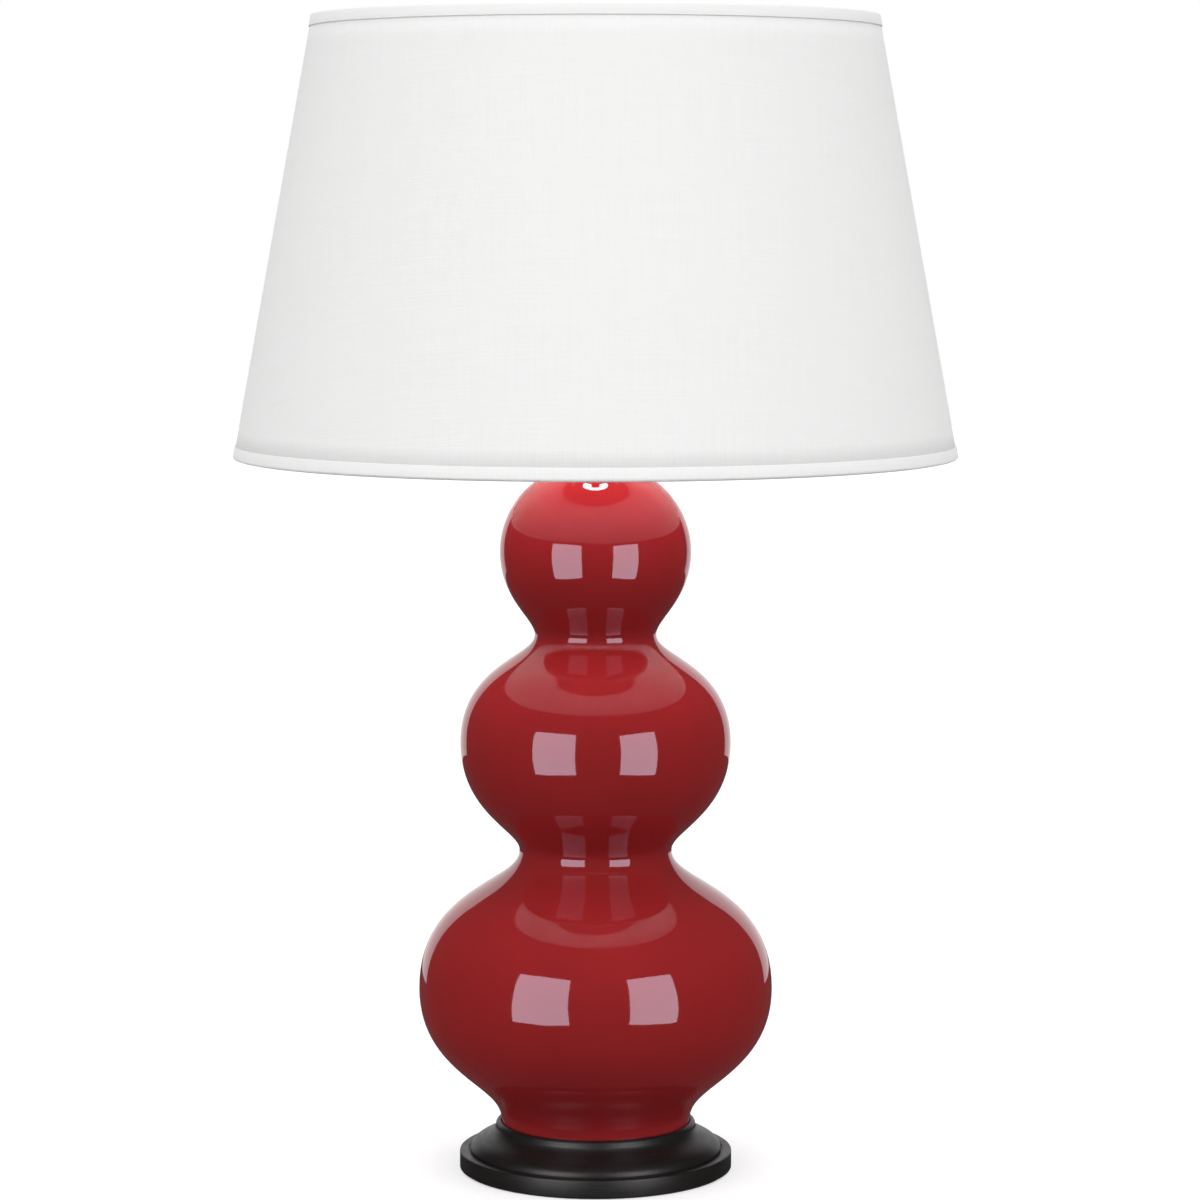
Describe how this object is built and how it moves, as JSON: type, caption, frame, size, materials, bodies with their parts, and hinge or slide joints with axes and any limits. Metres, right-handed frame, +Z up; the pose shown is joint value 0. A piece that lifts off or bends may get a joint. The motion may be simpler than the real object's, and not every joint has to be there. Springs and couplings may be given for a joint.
{
  "type": "triple gourd table lamp",
  "caption": "Table lamp with a glazed ceramic body of stacked bellies on a dark plinth, under a tapered round white shade held on a harp by a finial.",
  "frame": {"origin": "middle of the felt's underside, where the lamp stands on the table", "axes": "+Z up along the lamp's axis; -Y is the front, where the switch's knob points; the harp stands in the XZ plane and the cord inlet is at +Y"},
  "size_m": [0.4841, 0.4842, 0.7829],
  "materials": {
    "felt": "matte",
    "plinth_wood": "satin",
    "black_bushing": null,
    "plated_steel": null,
    "seal_rubber": null,
    "red_glaze": "gloss",
    "brass": "satin",
    "socket_brass": null,
    "liner_card": null,
    "core_phenolic": null,
    "switch_plastic": null,
    "frosted_glass": "satin",
    "clear_glass": null,
    "bulb_aluminium": null,
    "bulb_black_glass": null,
    "bulb_solder": null,
    "ring_paint": null,
    "shade_laminate": null,
    "shade_linen": null,
    "hem_tape": null
  },
  "bodies": {
    "lamp": {"felt_pad": "felt", "plinth": "plinth_wood", "cord_bushing": "black_bushing", "foot_washer": "plated_steel", "lock_washer": "plated_steel", "foot_nut": "plated_steel", "lamp_pipe": "plated_steel", "foot_gasket": "seal_rubber", "gourd_body": "red_glaze", "mouth_gasket": "seal_rubber", "vase_cap": "brass", "brass_neck": "brass", "harp_saddle": "brass", "socket_cap": "socket_brass", "socket_set_screw": "plated_steel", "socket_shell": "socket_brass", "socket_liner": "liner_card", "socket_core": "core_phenolic", "socket_screw_shell": "socket_brass", "socket_tongue": "socket_brass", "terminal_screws": "socket_brass"},
    "switch": {"switch_spindle": "socket_brass", "switch_knob": "switch_plastic"},
    "bulb": {"bulb_envelope": "frosted_glass", "bulb_base": "bulb_aluminium", "bulb_glaze": "bulb_black_glass", "bulb_contact": "bulb_solder", "bulb_mount": "clear_glass"},
    "harp": {"harp_wire": "brass", "harp_stud": "brass"},
    "sleeve_left": {"harp_sleeve_left": "brass"},
    "sleeve_right": {"harp_sleeve_right": "brass"},
    "shade": {"shade_bottom_ring": "ring_paint", "shade_top_ring": "ring_paint", "shade_spider": "brass", "shade_backing": "shade_laminate", "shade_fabric": "shade_linen", "shade_bottom_hem": "hem_tape", "shade_top_hem": "hem_tape"},
    "finial_base": {"finial_base": "brass"},
    "finial_ball": {"finial_knob": "brass"}
  },
  "joints": [
    {"name": "switch_turn", "type": "hinge", "parent": "lamp", "child": "switch", "pos_m": [0, -0.022, 0.517], "axis": [0, -1, 0], "continuous": true},
    {"name": "bulb_lift", "type": "slide", "parent": "lamp", "child": "bulb", "axis": [0, 0, 1], "range_m": [0, 0.025]},
    {"name": "harp_lift", "type": "slide", "parent": "lamp", "child": "harp", "axis": [0, 0, 1], "range_m": [0, 0.02]},
    {"name": "sleeve_left_slide", "type": "slide", "parent": "harp", "child": "sleeve_left", "axis": [0, 0, 1], "range_m": [0, 0.015]},
    {"name": "sleeve_right_slide", "type": "slide", "parent": "harp", "child": "sleeve_right", "axis": [0, 0, 1], "range_m": [0, 0.015]},
    {"name": "shade_turn", "type": "hinge", "parent": "harp", "child": "shade", "pos_m": [0, 0, 0.7567], "axis": [0, 0, 1], "continuous": true},
    {"name": "finial_rise", "type": "slide", "parent": "harp", "child": "finial_base", "axis": [0, 0, 1], "range_m": [0, 0.00658]},
    {"name": "finial_turn", "type": "hinge", "parent": "finial_base", "child": "finial_ball", "pos_m": [0, 0, 0.7649], "axis": [0, 0, 1], "range_deg": [0, 2520]}
  ],
  "couplings": [
    {"joint": "finial_turn", "follows": "finial_rise", "rad_per_m": 6679}
  ]
}
